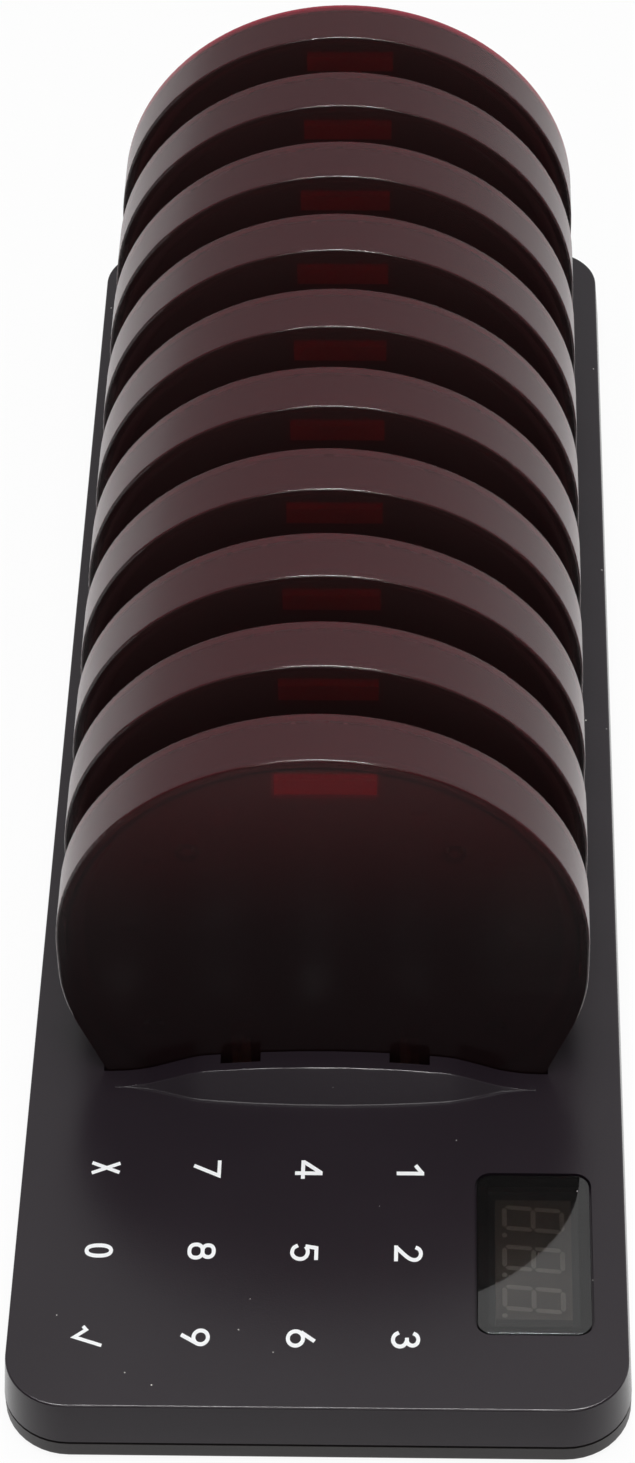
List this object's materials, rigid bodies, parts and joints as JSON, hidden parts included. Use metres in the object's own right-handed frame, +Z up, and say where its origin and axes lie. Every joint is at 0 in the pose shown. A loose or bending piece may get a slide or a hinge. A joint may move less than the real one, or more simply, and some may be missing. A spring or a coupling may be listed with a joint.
{
  "type": "guest pager system",
  "caption": "Low charging tray with a touch keypad and small digit display at one end and a row of translucent disc-shaped guest pagers standing in slots behind it.",
  "frame": {"origin": "centre of the base's footprint, on the surface the feet stand on", "axes": "+Y from the keypad back along the row of pagers, +X to the right of a person at the keypad, +Z up"},
  "size_m": [0.1268, 0.3594, 0.1101],
  "materials": {
    "base_casing": "fine satin texture, charcoal with a slight plum tint",
    "base_tray": "fine satin texture",
    "screw_steel": "zinc plated",
    "foot_rubber": "matt",
    "smoked_pane": "polished smoked acrylic",
    "display_block": "matt grey face",
    "segment_resin": "unlit milky resin",
    "circuit_board": "green solder resist",
    "board_parts": "moulded black packages",
    "radio_can": "tinned",
    "wire_sleeve": "smooth",
    "touch_foam": "open foam",
    "flat_cable": "smooth",
    "contact_metal": "sprung bronze, lightly rubbed",
    "socket_plastic": "moulded",
    "switch_can": "tinned",
    "switch_plastic": "moulded, grooved",
    "pager_shell": "translucent dark red, satin rim and glossy face",
    "pager_cover": "translucent dark red",
    "pager_works": "green circuit board with its pieces",
    "motor_weight_metal": "sintered metal"
  },
  "bodies": {
    "base": {"base_top_shell": "base_casing", "base_bottom_shell": "base_tray", "housing_screws": "screw_steel", "rubber_feet": "foot_rubber", "display_window": "smoked_pane", "display_module": "display_block", "display_segments": "segment_resin", "control_board": "circuit_board", "control_board_parts": "board_parts", "radio_module": "radio_can", "antenna_wire": "wire_sleeve", "touch_pads": "touch_foam", "board_screws": "screw_steel", "ribbon_cable": "flat_cable", "charging_board": "circuit_board", "charging_contacts": "contact_metal", "power_inlet": "socket_plastic", "power_switch_body": "switch_can"},
    "switch_slider": {"power_switch_slider": "switch_plastic"},
    "pager_01": {"pager_01_front_shell": "pager_shell", "pager_01_rear_cover": "pager_cover", "pager_01_works": "pager_works"},
    "pager_01_weight": {"pager_01_motor_weight": "motor_weight_metal"},
    "pager_02": {"pager_02_front_shell": "pager_shell", "pager_02_rear_cover": "pager_cover", "pager_02_works": "pager_works"},
    "pager_02_weight": {"pager_02_motor_weight": "motor_weight_metal"},
    "pager_03": {"pager_03_front_shell": "pager_shell", "pager_03_rear_cover": "pager_cover", "pager_03_works": "pager_works"},
    "pager_03_weight": {"pager_03_motor_weight": "motor_weight_metal"},
    "pager_04": {"pager_04_front_shell": "pager_shell", "pager_04_rear_cover": "pager_cover", "pager_04_works": "pager_works"},
    "pager_04_weight": {"pager_04_motor_weight": "motor_weight_metal"},
    "pager_05": {"pager_05_front_shell": "pager_shell", "pager_05_rear_cover": "pager_cover", "pager_05_works": "pager_works"},
    "pager_05_weight": {"pager_05_motor_weight": "motor_weight_metal"},
    "pager_06": {"pager_06_front_shell": "pager_shell", "pager_06_rear_cover": "pager_cover", "pager_06_works": "pager_works"},
    "pager_06_weight": {"pager_06_motor_weight": "motor_weight_metal"},
    "pager_07": {"pager_07_front_shell": "pager_shell", "pager_07_rear_cover": "pager_cover", "pager_07_works": "pager_works"},
    "pager_07_weight": {"pager_07_motor_weight": "motor_weight_metal"},
    "pager_08": {"pager_08_front_shell": "pager_shell", "pager_08_rear_cover": "pager_cover", "pager_08_works": "pager_works"},
    "pager_08_weight": {"pager_08_motor_weight": "motor_weight_metal"},
    "pager_09": {"pager_09_front_shell": "pager_shell", "pager_09_rear_cover": "pager_cover", "pager_09_works": "pager_works"},
    "pager_09_weight": {"pager_09_motor_weight": "motor_weight_metal"},
    "pager_10": {"pager_10_front_shell": "pager_shell", "pager_10_rear_cover": "pager_cover", "pager_10_works": "pager_works"},
    "pager_10_weight": {"pager_10_motor_weight": "motor_weight_metal"}
  },
  "joints": [
    {"name": "power_switch_slide", "type": "slide", "parent": "base", "child": "switch_slider", "axis": [1, 0, 0], "range_m": [0, 0.003]},
    {"name": "pager_01_lift", "type": "slide", "parent": "base", "child": "pager_01", "axis": [0, 0.0305, 0.9995], "range_m": [0, 0.11]},
    {"name": "pager_01_motor", "type": "hinge", "parent": "pager_01", "child": "pager_01_weight", "pos_m": [-0.02165, -0.08307, 0.04051], "axis": [1, 0, 0], "continuous": true},
    {"name": "pager_02_lift", "type": "slide", "parent": "base", "child": "pager_02", "axis": [0, 0.0305, 0.9995], "range_m": [0, 0.11]},
    {"name": "pager_02_motor", "type": "hinge", "parent": "pager_02", "child": "pager_02_weight", "pos_m": [-0.02165, -0.05702, 0.04051], "axis": [1, 0, 0], "continuous": true},
    {"name": "pager_03_lift", "type": "slide", "parent": "base", "child": "pager_03", "axis": [0, 0.0305, 0.9995], "range_m": [0, 0.11]},
    {"name": "pager_03_motor", "type": "hinge", "parent": "pager_03", "child": "pager_03_weight", "pos_m": [-0.02165, -0.03097, 0.04051], "axis": [1, 0, 0], "continuous": true},
    {"name": "pager_04_lift", "type": "slide", "parent": "base", "child": "pager_04", "axis": [0, 0.0305, 0.9995], "range_m": [0, 0.11]},
    {"name": "pager_04_motor", "type": "hinge", "parent": "pager_04", "child": "pager_04_weight", "pos_m": [-0.02165, -0.00492, 0.04051], "axis": [1, 0, 0], "continuous": true},
    {"name": "pager_05_lift", "type": "slide", "parent": "base", "child": "pager_05", "axis": [0, 0.0305, 0.9995], "range_m": [0, 0.11]},
    {"name": "pager_05_motor", "type": "hinge", "parent": "pager_05", "child": "pager_05_weight", "pos_m": [-0.02165, 0.02113, 0.04051], "axis": [1, 0, 0], "continuous": true},
    {"name": "pager_06_lift", "type": "slide", "parent": "base", "child": "pager_06", "axis": [0, 0.0305, 0.9995], "range_m": [0, 0.11]},
    {"name": "pager_06_motor", "type": "hinge", "parent": "pager_06", "child": "pager_06_weight", "pos_m": [-0.02165, 0.04718, 0.04051], "axis": [1, 0, 0], "continuous": true},
    {"name": "pager_07_lift", "type": "slide", "parent": "base", "child": "pager_07", "axis": [0, 0.0305, 0.9995], "range_m": [0, 0.11]},
    {"name": "pager_07_motor", "type": "hinge", "parent": "pager_07", "child": "pager_07_weight", "pos_m": [-0.02165, 0.07323, 0.04051], "axis": [1, 0, 0], "continuous": true},
    {"name": "pager_08_lift", "type": "slide", "parent": "base", "child": "pager_08", "axis": [0, 0.0305, 0.9995], "range_m": [0, 0.11]},
    {"name": "pager_08_motor", "type": "hinge", "parent": "pager_08", "child": "pager_08_weight", "pos_m": [-0.02165, 0.09928, 0.04051], "axis": [1, 0, 0], "continuous": true},
    {"name": "pager_09_lift", "type": "slide", "parent": "base", "child": "pager_09", "axis": [0, 0.0305, 0.9995], "range_m": [0, 0.11]},
    {"name": "pager_09_motor", "type": "hinge", "parent": "pager_09", "child": "pager_09_weight", "pos_m": [-0.02165, 0.12533, 0.04051], "axis": [1, 0, 0], "continuous": true},
    {"name": "pager_10_lift", "type": "slide", "parent": "base", "child": "pager_10", "axis": [0, 0.0305, 0.9995], "range_m": [0, 0.11]},
    {"name": "pager_10_motor", "type": "hinge", "parent": "pager_10", "child": "pager_10_weight", "pos_m": [-0.02165, 0.15138, 0.04051], "axis": [1, 0, 0], "continuous": true}
  ]
}
